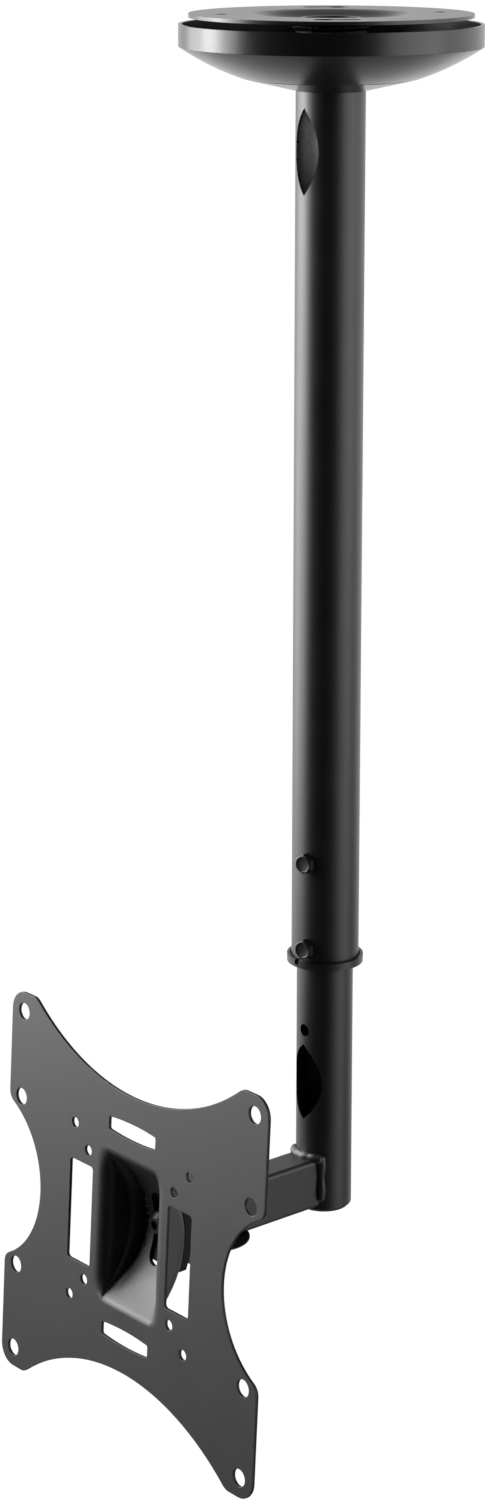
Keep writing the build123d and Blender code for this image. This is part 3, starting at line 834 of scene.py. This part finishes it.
softBoxes = {
    "leftBox": {"azimuth": -54, "distance": 1.6, "height": 0.35, "aim": 0.35, "size": (1.8, 2.6),
                "level": 3.4},
    "leftCore": {"azimuth": -51, "distance": 1.55, "height": 0.0, "aim": 0.0, "size": (0.5, 0.7),
                 "level": 6.2},
    "leftTop": {"azimuth": -72, "distance": 1.4, "height": 0.8, "aim": -0.66, "size": (1.0, 0.9),
                "level": 4.0},
    "rightBox": {"azimuth": 112, "distance": 1.8, "height": 0.0, "aim": 0.0, "size": (1.6, 2.0),
                 "level": 0.7},
}
for name, box in softBoxes.items():
    stand = around(box["distance"], box["azimuth"], box["height"])
    bpy.ops.object.light_add(type="AREA", location=stand)
    lamp = newest(name)
    lamp.rotation_euler = (Vector((0, 0, box["aim"])) - stand).to_track_quat("-Z", "Y").to_euler()
    lamp.data.shape = "RECTANGLE"
    lamp.data.size, lamp.data.size_y = box["size"]
    lamp.data.energy = box["level"] * math.pi * box["size"][0] * box["size"][1]

# the room: dark in front, pale behind, white where the camera looks past the object
room = {"darkAzimuth": 20, "back": 1.1, "front": 0.01, "fadeFrom": -0.6, "fadeTo": 0.75, "lowSky": 0.22,
        "highSky": 0.5, "topShare": 0.2, "seen": 1.0}
world = bpy.data.worlds.new("studio")
bpy.context.scene.world = world
world.use_nodes = True
tree = world.node_tree
toward = newNode(tree, "ShaderNodeTexCoord").outputs["Generated"]
facing = newNode(tree, "ShaderNodeVectorMath", operation="DOT_PRODUCT")
feed(tree, facing.inputs[0], toward)
feed(tree, facing.inputs[1], around(1, room["darkAzimuth"], 0))
fade = ramp(tree, facing.outputs["Value"], room["fadeFrom"], room["fadeTo"], room["back"], room["front"],
            "SMOOTHSTEP")
skyParts = newNode(tree, "ShaderNodeSeparateXYZ")
feed(tree, skyParts.inputs["Vector"], toward)
upward = ramp(tree, skyParts.outputs["Z"], room["lowSky"], room["highSky"], 1, room["topShare"], "SMOOTHSTEP")
level = newNode(tree, "ShaderNodeMix", data_type="FLOAT")
feed(tree, level.inputs["Factor"], newNode(tree, "ShaderNodeLightPath").outputs["Is Camera Ray"])
feed(tree, level.inputs["A"], reckon(tree, "MULTIPLY", fade, upward))
feed(tree, level.inputs["B"], room["seen"])
sky = tree.nodes["Background"]
feed(tree, sky.inputs["Color"], (1, 1, 1, 1))
feed(tree, sky.inputs["Strength"], level.outputs["Result"])

# paper floor under and behind the object, which the coat mirrors the more the further back it lies
floor = {"size": 14, "height": -1.7, "front": 0.5, "shade": 0.8, "rough": 0.9, "nearBack": 0.6,
         "farBack": 3.6, "nearMirrored": 0.13, "farMirrored": 1.3, "glow": 0.92, "lift": 1.08}
behind = floor["size"] / 2 - floor["front"]
centre = -around(behind, camera["azimuth"], 0) + Vector((0, 0, floor["height"]))
bpy.ops.mesh.primitive_plane_add(size=floor["size"], location=centre,
                                 rotation=(0, 0, math.radians(camera["azimuth"])))
ground = newest("floor")
paper = bpy.data.materials.new("paper")
paper.use_nodes = True
tree = paper.node_tree
matte = tree.nodes["Principled BSDF"]
feed(tree, matte.inputs["Base Color"], (floor["shade"], floor["shade"], floor["shade"], 1))
feed(tree, matte.inputs["Roughness"], floor["rough"])
floorParts = newNode(tree, "ShaderNodeSeparateXYZ")
feed(tree, floorParts.inputs["Vector"], newNode(tree, "ShaderNodeTexCoord").outputs["Object"])
mirrored = ramp(tree, floorParts.outputs["Y"], floor["nearBack"] - behind, floor["farBack"] - behind,
                floor["nearMirrored"], floor["farMirrored"])
ray = newNode(tree, "ShaderNodeLightPath")
glossy = ray.outputs["Is Glossy Ray"]
straight = reckon(tree, "MAXIMUM", ray.outputs["Is Camera Ray"], ray.outputs["Is Transmission Ray"])
strength = reckon(tree, "MULTIPLY_ADD", glossy, mirrored, straight)
white = newNode(tree, "ShaderNodeEmission")
feed(tree, white.inputs["Strength"], reckon(tree, "MULTIPLY", strength, floor["lift"]))
shown = reckon(tree, "MAXIMUM", straight, glossy)
glow = reckon(tree, "MULTIPLY", shown, floor["glow"])  # a small share of matte paper keeps the shadow
lit = mixShaders(tree, glow, matte.outputs["BSDF"], white.outputs["Emission"])
underside = newNode(tree, "ShaderNodeNewGeometry").outputs["Backfacing"]
clear = newNode(tree, "ShaderNodeBsdfTransparent").outputs["BSDF"]
oneSided = mixShaders(tree, underside, lit, clear)  # from below, the object shows through the floor
feed(tree, tree.nodes["Material Output"].inputs["Surface"], oneSided)
ground.data.materials.append(paper)
bpy.context.scene.view_settings.view_transform = "Standard"
print("studio ready")
